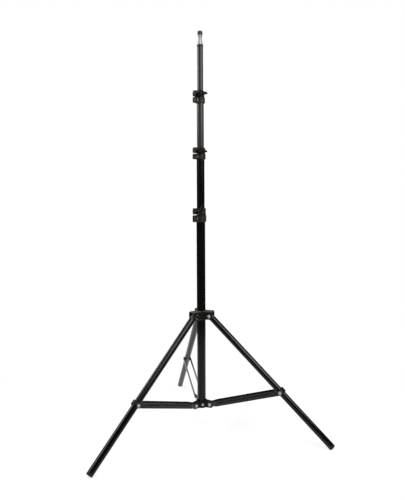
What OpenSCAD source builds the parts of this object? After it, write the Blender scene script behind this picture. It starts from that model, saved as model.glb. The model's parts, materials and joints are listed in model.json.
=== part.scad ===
// Folding tripod stand: four telescoping tubes held by knob clamps, on three braced legs.
// Millimetres. The floor is z = 0 under the column, and the rear leg points along +Y.

/* [Column tubes] */
// Outer diameter of the base tube
base_od = 27; // [26:0.5:30]
// Wall of each column tube
tube_wall = 1.2; // [1:0.05:1.3]
// Radial gap between a column tube and the one around it
tube_gap = 0.3; // [0.25:0.05:0.4]
// Length of the base tube
base_len = 608; // [580:1:640]
// Length of each riser tube
riser_len = 560; // [520:1:570]
// Length of the lower riser that shows
lower_show = 148; // [130:1:200]
// Length of the middle riser that shows
middle_show = 132; // [120:1:180]
// Length of the upper riser that shows
upper_show = 129; // [120:1:180]
// Height of a riser's guide bush below the tube
guide_flange_h = 8; // [5:0.5:12]
// Height of a riser's guide bush inside the tube
guide_spigot_h = 15; // [10:0.5:20]
// Bore through a guide bush
guide_bore_d = 9; // [6:0.5:9]

/* [Legs] */
// Outer diameter of a leg tube
leg_od = 20; // [18:0.5:22]
// Wall of a leg tube
leg_wall = 1.2; // [0.8:0.1:1.6]
// Length from a leg's pivot to its foot
leg_len = 535; // [510:1:550]
// Angle of a leg from the vertical
leg_angle = 45.4; // [43:0.1:48]
// Angle of a leg from the vertical when folded
fold_angle = 3; // [2:0.5:8]
// Length of the moulded leg head below the pivot
leg_head = 13; // [11:0.5:18]
// Length of a plug inside its tube
plug_len = 20; // [12:1:30]
// Length of a rubber foot that shows
foot_h = 9; // [7:0.5:14]
// Rounding of the foot's edge
foot_round = 3; // [2:0.25:4]
// Depth of the flat that the floor presses on a foot
foot_flat = 0.6; // [0.3:0.1:1]

/* [Braces] */
// Distance along a leg from its pivot to the brace rivet
brace_at = 314; // [304:1:318]
// Length of a brace between its rivets
brace_len = 233; // [228:1:240]
// Depth of a brace bar
bar_h = 15.5; // [14:0.5:20]
// Thickness of a brace bar
bar_t = 1.5; // [1:0.1:2]
// Least slope of an open brace
least_slope = 8; // [4:0.5:12]
// Width of the hub's lug between two bars
lug_w = 12; // [10:0.5:14]
// Distance from the hub rivet to the start of the bar's joggle
joggle_at = 12; // [11:0.5:16]
// Length of the bar's joggle
joggle_len = 10; // [8:0.5:14]
// Wall of the clip around a leg
clip_t = 1.2; // [0.8:0.1:1.5]
// Length of the clip along a leg
clip_len = 16; // [12:1:24]
// Height of the clip's back above the leg
clip_back = 3; // [2:0.25:5]
// Width of the clip's back
clip_back_w = 13; // [8:0.5:16]

/* [Collar and hub] */
// Wall of the collar's and the hub's sleeve
sleeve_wall = 3.5; // [3:0.25:5]
// Room between the sleeve and the ends of the bars
pivot_gap = 1.9; // [1.5:0.1:5]
// Thickness of one ear of the collar
ear_t = 3; // [2.5:0.25:4]
// Height of the collar above the leg pivots
collar_up = 16; // [13.5:0.5:18]
// Height of the collar's sleeve below the leg pivots
collar_down = 14; // [10:0.5:18]
// Height of an ear below the leg pivot
ear_down = 10.5; // [6:0.5:12]
// Reach of an ear past the leg pivot
ear_reach = 10.5; // [9:0.5:12]
// Rounding of an ear's corners
ear_round = 4; // [2:0.25:5]
// Height of the hub above the brace pivots
hub_up = 11.5; // [10.5:0.5:14]
// Height of the hub below the brace pivots
hub_down = 11; // [8:0.5:12]
// Reach of a hub lug past the brace pivot
lug_reach = 9; // [7:0.5:10]
// Floor of the hub under the base tube
hub_floor = 3; // [2:0.25:4]

/* [Rivets and screws] */
// Diameter of a pivot rivet
rivet_d = 6; // [5:0.5:7]
// Diameter of a rivet's head
rivet_head_d = 10; // [9:0.5:11]
// Height of a rivet's head
rivet_head_h = 2; // [1.5:0.1:2.5]
// Diameter of a screw that holds the hub to the tube
hub_screw_d = 4; // [3:0.5:5]
// Diameter of a hub screw's head
hub_screw_head_d = 7.5; // [6.5:0.5:9]
// Height of a hub screw's head
hub_screw_head_h = 1.8; // [1.2:0.1:2.4]

/* [Clamps] */
// Wall of a clamp around its tube
clamp_wall = 3.5; // [2.5:0.1:4]
// Height of the ring that sits on the base tube
base_seat_h = 21; // [16:0.5:24]
// Height of the ring that sits on a riser
riser_seat_h = 16; // [12:0.5:18]
// Height of the base tube's ring that grips the lower riser
base_grip_h = 19; // [16.5:0.5:22]
// Height of a riser's ring that grips the next riser
riser_grip_h = 16.5; // [16.5:0.5:22]
// Height of the slot between the two rings
slot_h = 2.5; // [1.5:0.1:3.5]
// Reach of a clamp's ears past the outer tube
clamp_reach = 14.5; // [13.5:0.5:17]
// Thickness of both ears together
clamp_ears_w = 14; // [12:0.5:16]
// Width of the slit between the ears
slit_w = 2.4; // [1.5:0.1:3.5]
// Distance of a clamp's bolt from the outer tube
bolt_out = 6; // [5.5:0.1:6.5]
// Angle of the spine that joins the two rings
spine_angle = 110; // [80:5:150]
// Direction in which the ears point
clamp_azimuth = 208; // [180:1:240]
// Diameter of a clamp bolt
bolt_d = 6; // [5:0.5:6.5]
// Width of a clamp nut across its corners
nut_d = 11; // [10:0.5:12]
// Height of a clamp nut
nut_h = 5; // [4:0.5:6]
// Diameter of the screw that fixes a clamp to its tube
fix_d = 4; // [3:0.5:4]
// Diameter of a fixing screw's head
fix_head_d = 5.5; // [5:0.5:7]
// Height of a fixing screw's head
fix_head_h = 1.8; // [1.2:0.2:2.4]
// Width of a fixing nut across its corners
fix_nut_d = 8; // [7:0.5:9]
// Height of a fixing nut
fix_nut_h = 3.2; // [2.4:0.2:4]

/* [Clamp knobs] */
// Diameter of a knob's hub
knob_d = 15; // [13:0.5:16]
// Diameter of a knob's neck beside the grip ring
neck_d = 10.5; // [8:0.5:11]
// Thickness of a knob's wings
wing_t = 6; // [5:0.5:8]
// Length of the knob's nose past its wings
nose_h = 1.5; // [0.5:0.25:3]
// Reach of the long wing
wing_long = 26; // [22:0.5:30]
// Reach of the short wing
wing_short = 13; // [11:0.5:18]
// Radius of a wing's tip
wing_tip_r = 3.5; // [2.5:0.25:4.5]
// Turn of the long wing on the lower clamp
lower_turn = 120; // [0:1:359]
// Turn of the long wing on the middle clamp
middle_turn = 189; // [0:1:359]
// Turn of the long wing on the upper clamp
upper_turn = 178; // [0:1:359]

/* [Collar knob] */
// Diameter of the washer under the locking knob
washer_d = 14; // [12:0.5:16]
// Thickness of the washer
washer_t = 1; // [0.8:0.1:1.5]
// Diameter of the locking knob's hub
lock_knob_d = 13; // [11:0.5:15]
// Length of the locking knob's neck
lock_neck = 5.5; // [5:0.5:9]
// Reach of each wing of the locking knob
lock_wing = 16; // [12:0.5:16]
// Turn of the locking knob's wings from level
lock_turn = 25; // [0:1:180]

/* [Spigot] */
// Diameter of the spigot
spigot_d = 15.9; // [15.8:0.1:16]
// Length of the spigot's full-size base
spigot_base_h = 6; // [5:0.5:8]
// Diameter of the spigot's waist
waist_d = 12; // [11:0.5:13]
// Length of the spigot's waist
waist_h = 13; // [10:0.5:18]
// Length of the taper from the base to the waist
taper_h = 3.5; // [2:0.5:5]
// Diameter of the spigot's upper rim
rim_d = 14; // [13.5:0.25:15]
// Height of the spigot's upper rim
rim_h = 3; // [2:0.5:4]
// Diameter of the stub under the cap
stub_d = 6.2; // [5:0.1:8]
// Length of the stub under the cap
stub_h = 9.5; // [8:0.5:10]
// Length of the spigot's shank in the tube
shank_h = 30; // [20:1:40]
// Height of the ring on top of the upper riser
ferrule_h = 6.5; // [5:0.5:10]
// Width of the ring's lip past the tube
ferrule_lip = 0.5; // [0.3:0.1:1.5]
// Diameter of the cap
cap_d = 15; // [14:0.1:15.5]
// Height of the cap
cap_h = 12.5; // [12.5:0.5:18]
// Rounding of the cap's top edge
cap_round = 3; // [1.5:0.25:4]

/* [Fits] */
// Radial clearance of a pressed or bonded joint
seat_fit = 0.05; // [0.03:0.01:0.08]
// Radial clearance of a turning or sliding fit
run_fit = 0.08; // [0.05:0.01:0.1]
// Radial clearance of a screw in its hole
screw_fit = 0.3; // [0.2:0.05:0.4]
// Gap between the faces of moving pieces
side_gap = 0.3; // [0.2:0.05:0.5]

/* [Hidden] */
$fn = 64;
cut = 1;

// Column tubes: 0 is the base tube, and each riser fits inside the tube before it
tube_step = 2 * (tube_wall + tube_gap);
function tube_od(i) = base_od - i * tube_step;
function tube_id(i) = tube_od(i) - 2 * tube_wall;

// Collar and hub radii, which also set the pivots' distance from the column
collar_bore_r = base_od / 2 + run_fit;
sleeve_r = collar_bore_r + sleeve_wall;
pivot_r = sleeve_r + max(leg_od, bar_h) / 2 + pivot_gap;

// Leg pivots sit where the rounded foot, with its flat, meets the floor
leg_r = leg_od / 2;
foot_side = leg_r - foot_round;
leg_pivot_z = (leg_len - foot_round) * cos(leg_angle) + foot_side * sin(leg_angle)
    + foot_round - foot_flat;

// Brace pivots on the hub close the triangle of leg, brace and column; a brace that is
// too short for that gets a hub that reaches further out
hub_extra = max(0, brace_at * sin(leg_angle) - brace_len * cos(least_slope));
hub_pivot_r = pivot_r + hub_extra;
brace_run = brace_at * sin(leg_angle) - hub_extra;
brace_rise = sqrt(brace_len * brace_len - brace_run * brace_run);
brace_angle = atan2(brace_rise, brace_run);
hub_pivot_z = leg_pivot_z - brace_at * cos(leg_angle) - brace_rise;

// Travel of the collar and turn of the braces from open to folded
fold_run = brace_at * sin(fold_angle) - hub_extra;
fold_rise = sqrt(brace_len * brace_len - fold_run * fold_run);
collar_travel = hub_pivot_z + fold_rise + brace_at * cos(fold_angle) - leg_pivot_z;
brace_turn = atan2(fold_rise, fold_run) - brace_angle;

// Heights along the column
hub_z = hub_pivot_z - hub_down;
base_z = hub_z + hub_floor;
function seat_h(i) = i == 0 ? base_seat_h : riser_seat_h;
function grip_h(i) = i == 0 ? base_grip_h : riser_grip_h;
function clamp_h(i) = seat_h(i) + slot_h + grip_h(i);
shows = [lower_show, middle_show, upper_show];
function tube_top(i) = i == 0 ? base_z + base_len : clamp_z(i) + riser_seat_h;
function clamp_z(i) = i == 0 ? tube_top(0) - base_seat_h : clamp_z(i - 1) + clamp_h(i - 1) + shows[i - 1];
upper_top = clamp_z(2) + clamp_h(2) + upper_show;
function riser_top(i) = i == 3 ? upper_top : tube_top(i);
function riser_z(i) = riser_top(i) - riser_len;

// Leg, clip, bar and ear positions across the leg
leg_side = leg_r + side_gap;
clip_r = leg_r + seat_fit + clip_t;
bar_wide = clip_r + side_gap;
bar_narrow = lug_w / 2 + side_gap;
lobe_w = 2 * (leg_side + ear_t);
rivet_r = rivet_d / 2;
rivet_hole_r = rivet_r + run_fit;

// Clamp radii for the clamp on tube i
function seat_bore_r(i) = tube_od(i) / 2 + seat_fit;
function seat_r(i) = seat_bore_r(i) + clamp_wall;
function grip_bore_r(i) = tube_od(i + 1) / 2 + run_fit;
function grip_r(i) = grip_bore_r(i) + clamp_wall;
function ears_end(i) = tube_od(i) / 2 + clamp_reach;
function bolt_x(i) = tube_od(i) / 2 + bolt_out;
function bolt_z(i) = clamp_z(i) + seat_h(i) + slot_h + grip_h(i) / 2;
function fix_z(i) = clamp_z(i) + seat_h(i) / 2;
ears_y = clamp_ears_w / 2;
turns = [lower_turn, middle_turn, upper_turn];
wing_y = seat_r(0) + 2 * side_gap;
knob_base_y = ears_y + side_gap;
knob_end_y = wing_y + wing_t + nose_h;

// Locking knob positions along the left leg's pivot
washer_y = lobe_w / 2 + seat_fit;
lock_base_y = washer_y + washer_t + side_gap;
lock_wing_y = lock_base_y + lock_neck;
lock_bolt_end = lock_wing_y + wing_t / 2;

// Spigot heights
spigot_z = upper_top + ferrule_h;
waist_z = spigot_z + spigot_base_h + taper_h;
rim_z = waist_z + waist_h + (rim_d - waist_d) / 2;
stub_z = rim_z + rim_h;

black = [0.05, 0.05, 0.055];
tube_grey = [0.16, 0.16, 0.17];
charcoal = [0.13, 0.13, 0.14];
rubber_black = [0.08, 0.08, 0.08];
bright = [0.75, 0.75, 0.76];

// Frames: legs 0, 1 and 2 are the rear, left and right ones

module at_leg(i) {
    rotate([0, 0, 90 + 120 * i]) children();
}

// Between two legs, x outward
module at_gap(i) {
    rotate([0, 0, 30 + 120 * i]) children();
}

// At a leg's pivot on the collar: y runs along the pivot
module pivot_frame(i) {
    at_leg(i) translate([pivot_r, 0, leg_pivot_z]) children();
}

// Along a leg: z runs down from the pivot to the foot, and -x is the leg's upper side
module leg_frame(i) {
    pivot_frame(i) rotate([0, 180 - leg_angle, 0]) children();
}

// Along a brace: x runs from the hub's rivet to the leg's
module brace_frame(i) {
    at_leg(i) translate([hub_pivot_r, 0, hub_pivot_z]) rotate([0, -brace_angle, 0]) children();
}

// At a clamp: x runs along the ears, and y along the bolts towards the knob
module clamp_frame() {
    rotate([0, 0, clamp_azimuth]) children();
}

// A cylinder along y that starts at y0
module rod_y(r, y0, y1) {
    translate([0, y0, 0]) rotate([-90, 0, 0]) cylinder(r = r, h = y1 - y0);
}

module tube(od, wall, h) {
    difference() {
        cylinder(d = od, h = h);
        translate([0, 0, -cut]) cylinder(d = od - 2 * wall, h = h + 2 * cut);
    }
}

// A domed head of radius r and height h on the plane z = 0
module dome(r, h) {
    ball = (r * r + h * h) / (2 * h);
    intersection() {
        translate([0, 0, h - ball]) sphere(r = ball);
        cylinder(r = r, h = h);
    }
}

// A rectangle with round corners, from a low corner to a high one
module round_rect(low, high, r) {
    translate([low[0] + r, low[1]]) square([high[0] - low[0] - 2 * r, high[1] - low[1]]);
    translate([low[0], low[1] + r]) square([high[0] - low[0], high[1] - low[1] - 2 * r]);
    for (x = [low[0] + r, high[0] - r], y = [low[1] + r, high[1] - r]) translate([x, y]) circle(r = r);
}

// Two circles on the x axis and the straight sides between them
module taper_outline(r1, r2, run) {
    lean = asin((r1 - r2) / run);
    circle(r = r1);
    translate([run, 0]) circle(r = r2);
    polygon([
        [r1 * sin(lean), r1 * cos(lean)], [run + r2 * sin(lean), r2 * cos(lean)],
        [run + r2 * sin(lean), -r2 * cos(lean)], [r1 * sin(lean), -r1 * cos(lean)]
    ]);
}

// A side outline, drawn as x and height, given a width across y
module across(w) {
    translate([0, w / 2, 0]) rotate([90, 0, 0]) linear_extrude(w) children();
}

// A rivet's head on the plane y = y0
module rivet_head(y0) {
    translate([0, y0, 0]) rotate([-90, 0, 0]) dome(rivet_head_d / 2, rivet_head_h);
}

// A rivet along y with a domed head at each end
module pivot_rivet(grip) {
    rod_y(rivet_r, -grip / 2, grip / 2);
    for (side = [0, 1]) mirror([0, side, 0]) rivet_head(grip / 2);
}

// Column

module base_tube() {
    color(black) difference() {
        translate([0, 0, base_z]) tube(base_od, tube_wall, base_len);
        hub_screw_holes();
    }
}

module hub_screw_holes() {
    for (i = [0:2]) at_gap(i) translate([0, 0, hub_pivot_z]) rotate([0, 90, 0])
        cylinder(d = hub_screw_d + 2 * seat_fit, h = sleeve_r + cut);
}

module riser(i) {
    color(i == 1 ? black : tube_grey) translate([0, 0, riser_z(i)]) tube(tube_od(i), tube_wall, riser_len);
}

module guide(i) {
    color(charcoal) translate([0, 0, riser_z(i) - side_gap - guide_flange_h]) difference() {
        union() {
            cylinder(r = tube_id(i - 1) / 2 - run_fit, h = guide_flange_h);
            cylinder(r = tube_id(i) / 2 - run_fit, h = guide_flange_h + side_gap + guide_spigot_h);
        }
        translate([0, 0, -cut])
            cylinder(d = guide_bore_d, h = guide_flange_h + side_gap + guide_spigot_h + 2 * cut);
    }
}

// Hub and collar

module hub_lug() {
    lug_end = hub_pivot_r + lug_reach;
    across(lug_w) intersection() {
        translate([0, hub_pivot_z]) round_rect([-cut, -hub_down], [lug_end, hub_up], hub_down / 2);
        polygon([
            [0, hub_z], [lug_end, hub_z], [lug_end, hub_pivot_z + lug_reach],
            [sleeve_r, hub_pivot_z + hub_up], [0, hub_pivot_z + hub_up]
        ]);
    }
}

module hub() {
    color(charcoal) difference() {
        union() {
            translate([0, 0, hub_z]) cylinder(r = sleeve_r, h = hub_down + hub_up);
            for (i = [0:2]) at_leg(i) hub_lug();
        }
        translate([0, 0, base_z]) cylinder(r = base_od / 2 + seat_fit, h = hub_down + hub_up);
        for (i = [0:2]) at_leg(i) translate([hub_pivot_r, 0, hub_pivot_z])
            rod_y(rivet_r + seat_fit, -lug_w, lug_w);
        hub_screw_holes();
    }
}

module hub_screws() {
    color(bright) for (i = [0:2]) at_gap(i) translate([0, 0, hub_pivot_z]) rotate([0, 90, 0]) {
        translate([0, 0, tube_id(0) / 2]) cylinder(d = hub_screw_d, h = sleeve_r - tube_id(0) / 2 + seat_fit);
        translate([0, 0, sleeve_r + seat_fit]) dome(hub_screw_head_d / 2, hub_screw_head_h);
    }
}

module hub_rivets() {
    color(bright) for (i = [0:2]) at_leg(i) translate([hub_pivot_r, 0, hub_pivot_z])
        pivot_rivet(2 * (bar_narrow + bar_t + side_gap));
}

module collar_lobe() {
    intersection() {
        across(lobe_w) translate([0, leg_pivot_z])
            round_rect([-ear_round, -ear_down], [pivot_r + ear_reach, collar_up], ear_round);
        rotate([90, 0, 90]) linear_extrude(pivot_r + ear_reach) translate([0, leg_pivot_z])
            round_rect([-lobe_w / 2, -ear_down - ear_round], [lobe_w / 2, collar_up], ear_round);
    }
}

module leg_slot() {
    translate([sleeve_r, -leg_side, leg_pivot_z - ear_down - cut])
        cube([pivot_r, 2 * leg_side, ear_down + cut + leg_r + side_gap]);
}

module leg_collar() {
    color(charcoal) difference() {
        union() {
            translate([0, 0, leg_pivot_z - collar_down]) cylinder(r = sleeve_r, h = collar_down + collar_up);
            for (i = [0:2]) at_leg(i) collar_lobe();
        }
        for (i = [0:2]) at_leg(i) leg_slot();
        for (i = [0:2]) pivot_frame(i) rod_y(rivet_r + seat_fit, -lobe_w, lobe_w);
        translate([0, 0, leg_pivot_z - collar_down - cut])
            cylinder(r = collar_bore_r, h = collar_down + collar_up + 2 * cut);
    }
}

// The left leg turns on the locking knob's bolt instead of a rivet
module leg_rivets() {
    color(bright) for (i = [0, 2]) pivot_frame(i) pivot_rivet(lobe_w + 2 * seat_fit);
}

module collar_knob() {
    color(charcoal) pivot_frame(1) rotate([0, -lock_turn, 0]) difference() {
        union() {
            rod_y(lock_knob_d / 2, lock_base_y, lock_wing_y + wing_t + nose_h);
            translate([0, lock_wing_y + wing_t, 0]) rotate([90, 0, 0]) linear_extrude(wing_t)
                for (side = [0, 180]) rotate(side)
                    taper_outline(lock_knob_d / 2, wing_tip_r, lock_wing - wing_tip_r);
        }
        rod_y(rivet_hole_r, 0, lock_bolt_end + side_gap);
    }
}

module collar_bolt() {
    color(bright) pivot_frame(1) {
        rod_y(rivet_r, -washer_y, lock_bolt_end);
        mirror([0, 1, 0]) rivet_head(washer_y);
    }
}

module collar_washer() {
    color(bright) pivot_frame(1) difference() {
        rod_y(washer_d / 2, washer_y, washer_y + washer_t);
        rod_y(rivet_hole_r, 0, lock_base_y);
    }
}

// Legs

module leg_tube(i) {
    color(black) leg_frame(i) translate([0, 0, leg_head])
        tube(leg_od, leg_wall, leg_len - foot_h - leg_head);
}

module leg_plug(i) {
    color(charcoal) leg_frame(i) difference() {
        union() {
            intersection() {
                translate([0, 0, -leg_r]) cylinder(r = leg_r, h = leg_r + leg_head);
                union() {
                    rod_y(leg_r, -leg_od, leg_od);
                    translate([-leg_od, -leg_od, 0]) cube([2 * leg_od, 2 * leg_od, leg_head]);
                }
            }
            translate([0, 0, leg_head]) cylinder(r = leg_r - leg_wall - seat_fit, h = plug_len);
        }
        rod_y(rivet_hole_r, -leg_od, leg_od);
    }
}

module foot_outline() {
    intersection() {
        round_rect([-leg_r, -foot_h], [leg_r, foot_h], foot_round);
        square([leg_r, foot_h]);
    }
}

module foot(i) {
    color(rubber_black) difference() {
        leg_frame(i) translate([0, 0, leg_len - foot_h]) {
            rotate_extrude() foot_outline();
            translate([0, 0, -plug_len]) cylinder(r = leg_r - leg_wall - seat_fit, h = plug_len);
        }
        at_leg(i) translate([pivot_r, -leg_od, -leg_od]) cube([leg_len, 2 * leg_od, leg_od]);
    }
}

module leg_clip(i) {
    back_x = leg_r + clip_back;
    color(charcoal) leg_frame(i) translate([0, 0, brace_at - clip_len / 2]) difference() {
        union() {
            cylinder(r = clip_r, h = clip_len);
            translate([-back_x, -clip_back_w / 2, 0]) cube([back_x, clip_back_w, clip_len]);
        }
        translate([0, 0, -cut]) cylinder(r = leg_r + seat_fit, h = clip_len + 2 * cut);
        translate([leg_r / 2, -leg_od, -cut]) cube([leg_od, 2 * leg_od, clip_len + 2 * cut]);
    }
}

// Braces

module bar_side() {
    across(4 * bar_wide) {
        translate([0, -bar_h / 2]) square([brace_len, bar_h]);
        for (x = [0, brace_len]) translate([x, 0]) circle(d = bar_h);
    }
}

// The bar from above: close to the lug at the hub, then out beside the leg
module bar_plan() {
    joggle_end = joggle_at + joggle_len;
    linear_extrude(2 * bar_h, center = true) polygon([
        [-bar_h, bar_narrow], [joggle_at, bar_narrow], [joggle_end, bar_wide], [brace_len + bar_h, bar_wide],
        [brace_len + bar_h, bar_wide + bar_t], [joggle_end - bar_t / 2, bar_wide + bar_t],
        [joggle_at - bar_t / 2, bar_narrow + bar_t], [-bar_h, bar_narrow + bar_t]
    ]);
}

module brace_bar(i, side) {
    color(black) brace_frame(i) mirror([0, side, 0]) difference() {
        intersection() {
            bar_side();
            bar_plan();
        }
        rod_y(rivet_hole_r, 0, bar_wide);
        translate([brace_len, 0, 0]) rod_y(rivet_r + seat_fit, 0, 2 * bar_wide);
    }
}

module brace_rivets(i) {
    color(bright) brace_frame(i) for (side = [0, 1]) mirror([0, side, 0]) translate([brace_len, 0, 0]) {
        rod_y(rivet_r, bar_wide, bar_wide + bar_t + seat_fit);
        rivet_head(bar_wide + bar_t + seat_fit);
    }
}

// Clamps

module ears(i, h) {
    end_r = ears_y / 2;
    linear_extrude(h) round_rect([-end_r, -ears_y], [ears_end(i), ears_y], end_r);
}

module spine(i, h) {
    reach = 2 * seat_r(i);
    intersection() {
        cylinder(r = grip_r(i), h = h);
        linear_extrude(h) polygon([
            [0, 0], reach * [-cos(spine_angle / 2), sin(spine_angle / 2)], [-reach, reach * sin(spine_angle / 2)],
            [-reach, -reach * sin(spine_angle / 2)], reach * [-cos(spine_angle / 2), -sin(spine_angle / 2)]
        ]);
    }
}

module clamp(i) {
    grip_z = seat_h(i) + slot_h;
    color(charcoal) translate([0, 0, clamp_z(i)]) clamp_frame() difference() {
        union() {
            cylinder(r = seat_r(i), h = seat_h(i));
            ears(i, seat_h(i));
            translate([0, 0, seat_h(i)]) spine(i, slot_h);
            translate([0, 0, grip_z]) cylinder(r = grip_r(i), h = grip_h(i));
            translate([0, 0, grip_z]) ears(i, grip_h(i));
        }
        translate([0, 0, -cut]) cylinder(r = seat_bore_r(i), h = seat_h(i) + cut);
        cylinder(r = grip_bore_r(i), h = clamp_h(i) + cut);
        translate([0, -slit_w / 2, -cut]) cube([2 * ears_end(i), slit_w, clamp_h(i) + 2 * cut]);
        translate([bolt_x(i), 0, bolt_z(i) - clamp_z(i)]) rod_y(bolt_d / 2 + screw_fit, -leg_od, leg_od);
        translate([bolt_x(i), 0, fix_z(i) - clamp_z(i)]) rod_y(fix_d / 2 + screw_fit, -leg_od, leg_od);
    }
}

module at_bolt(i) {
    clamp_frame() translate([bolt_x(i), 0, bolt_z(i)]) children();
}

module at_fixing(i) {
    clamp_frame() translate([bolt_x(i), 0, fix_z(i)]) children();
}

module wing_outline() {
    taper_outline(knob_d / 2, wing_tip_r, wing_long - wing_tip_r);
    rotate(180) taper_outline(knob_d / 2, wing_tip_r, wing_short - wing_tip_r);
}

module clamp_knob(i) {
    color(charcoal) at_bolt(i) rotate([0, -turns[i], 0]) difference() {
        union() {
            rod_y(neck_d / 2, knob_base_y, wing_y);
            rod_y(knob_d / 2, wing_y, knob_end_y);
            translate([0, wing_y + wing_t, 0]) rotate([90, 0, 0]) linear_extrude(wing_t) wing_outline();
        }
        rod_y(bolt_d / 2 + seat_fit, 0, wing_y + wing_t / 2);
    }
}

module clamp_bolt(i) {
    color(bright) at_bolt(i) rod_y(bolt_d / 2, -ears_y - nut_h - cut, wing_y + wing_t / 2);
}

module hex_nut(d, h, bore_r) {
    rotate([90, 0, 0]) difference() {
        cylinder(d = d, h = h, $fn = 6);
        translate([0, 0, -cut]) cylinder(r = bore_r, h = h + 2 * cut);
    }
}

module clamp_nuts(i) {
    color(bright) {
        at_bolt(i) translate([0, -ears_y, 0]) hex_nut(nut_d, nut_h, bolt_d / 2 + run_fit);
        at_fixing(i) translate([0, -ears_y, 0]) hex_nut(fix_nut_d, fix_nut_h, fix_d / 2 + run_fit);
    }
}

module clamp_screw(i) {
    color(bright) at_fixing(i) {
        rod_y(fix_d / 2, -ears_y - fix_nut_h - cut, ears_y);
        translate([0, ears_y, 0]) rotate([-90, 0, 0]) dome(fix_head_d / 2, fix_head_h);
    }
}

// Spigot

module ferrule() {
    color(charcoal) translate([0, 0, upper_top]) difference() {
        cylinder(d = tube_od(3) + 2 * ferrule_lip, h = ferrule_h);
        translate([0, 0, -cut]) cylinder(d = tube_id(3), h = ferrule_h + 2 * cut);
    }
}

module spigot() {
    color(bright) {
        translate([0, 0, upper_top - shank_h]) cylinder(r = tube_id(3) / 2 - seat_fit, h = shank_h + ferrule_h);
        translate([0, 0, spigot_z]) cylinder(d = spigot_d, h = spigot_base_h);
        translate([0, 0, spigot_z + spigot_base_h]) cylinder(d1 = spigot_d, d2 = waist_d, h = taper_h);
        translate([0, 0, waist_z]) cylinder(d = waist_d, h = waist_h);
        translate([0, 0, waist_z + waist_h]) cylinder(d1 = waist_d, d2 = rim_d, h = rim_z - waist_z - waist_h);
        translate([0, 0, rim_z]) cylinder(d = rim_d, h = rim_h);
        translate([0, 0, stub_z]) cylinder(d = stub_d, h = stub_h);
    }
}

module spigot_cap() {
    color(rubber_black) translate([0, 0, stub_z + side_gap]) difference() {
        rotate_extrude() intersection() {
            round_rect([-cap_d / 2, -cap_h], [cap_d / 2, cap_h], cap_round);
            square([cap_d, cap_h]);
        }
        translate([0, 0, -cut]) cylinder(r = stub_d / 2 + run_fit, h = stub_h + cut);
    }
}

base_tube();
hub();
hub_screws();
hub_rivets();
leg_collar();
leg_rivets();
collar_knob();
collar_bolt();
collar_washer();
leg_tube(0);  // rear_leg_tube
leg_plug(0);  // rear_leg_plug
foot(0);  // rear_foot
leg_clip(0);  // rear_leg_clip
leg_tube(1);  // left_leg_tube
leg_plug(1);  // left_leg_plug
foot(1);  // left_foot
leg_clip(1);  // left_leg_clip
leg_tube(2);  // right_leg_tube
leg_plug(2);  // right_leg_plug
foot(2);  // right_foot
leg_clip(2);  // right_leg_clip
brace_bar(0, 0);  // rear_brace_bar_a
brace_bar(0, 1);  // rear_brace_bar_b
brace_rivets(0);  // rear_brace_rivets
brace_bar(1, 0);  // left_brace_bar_a
brace_bar(1, 1);  // left_brace_bar_b
brace_rivets(1);  // left_brace_rivets
brace_bar(2, 0);  // right_brace_bar_a
brace_bar(2, 1);  // right_brace_bar_b
brace_rivets(2);  // right_brace_rivets
clamp(0);  // lower_clamp
clamp_knob(0);  // lower_clamp_knob
clamp_bolt(0);  // lower_clamp_bolt
clamp_nuts(0);  // lower_clamp_nuts
clamp_screw(0);  // lower_clamp_screw
clamp(1);  // middle_clamp
clamp_knob(1);  // middle_clamp_knob
clamp_bolt(1);  // middle_clamp_bolt
clamp_nuts(1);  // middle_clamp_nuts
clamp_screw(1);  // middle_clamp_screw
clamp(2);  // upper_clamp
clamp_knob(2);  // upper_clamp_knob
clamp_bolt(2);  // upper_clamp_bolt
clamp_nuts(2);  // upper_clamp_nuts
clamp_screw(2);  // upper_clamp_screw
riser(1);  // lower_riser
guide(1);  // lower_guide
riser(2);  // middle_riser
guide(2);  // middle_guide
riser(3);  // upper_riser
guide(3);  // upper_guide
ferrule();
spigot();
spigot_cap();
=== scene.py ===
import json
import math

import bmesh
import bpy
from mathutils import Matrix, Vector


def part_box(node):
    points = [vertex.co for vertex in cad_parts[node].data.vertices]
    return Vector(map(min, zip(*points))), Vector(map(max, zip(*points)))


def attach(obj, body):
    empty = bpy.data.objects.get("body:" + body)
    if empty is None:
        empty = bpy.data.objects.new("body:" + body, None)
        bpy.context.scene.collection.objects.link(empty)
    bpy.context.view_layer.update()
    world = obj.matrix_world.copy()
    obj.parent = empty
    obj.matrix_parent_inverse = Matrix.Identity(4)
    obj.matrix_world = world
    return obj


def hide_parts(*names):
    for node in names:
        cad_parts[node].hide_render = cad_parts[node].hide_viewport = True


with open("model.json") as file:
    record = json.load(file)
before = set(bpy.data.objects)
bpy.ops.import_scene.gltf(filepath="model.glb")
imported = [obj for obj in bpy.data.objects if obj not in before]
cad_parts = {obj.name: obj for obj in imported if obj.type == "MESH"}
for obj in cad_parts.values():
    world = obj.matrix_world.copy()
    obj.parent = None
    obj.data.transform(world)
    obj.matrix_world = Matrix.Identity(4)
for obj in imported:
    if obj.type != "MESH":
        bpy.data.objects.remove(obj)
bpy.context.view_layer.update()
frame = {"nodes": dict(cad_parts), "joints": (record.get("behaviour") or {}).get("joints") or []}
nodes = frame["nodes"]
joints = {joint["name"]: joint for joint in frame["joints"]}
MM = 0.001

# Camera as the photo was taken, on an image 500 pixels high: angles in degrees, distances in metres
IMAGE_HEIGHT = 500
FOCAL_PIXELS = 517.9
SENSOR_MM = 36
CAMERA_AZIMUTH = -12.15
CAMERA_BACK = 1.5985
CAMERA_SIDE = 0.00483
CAMERA_HEIGHT = 0.7548
CAMERA_PITCH = 6.0
CAMERA_ROLL = -0.248

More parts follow.
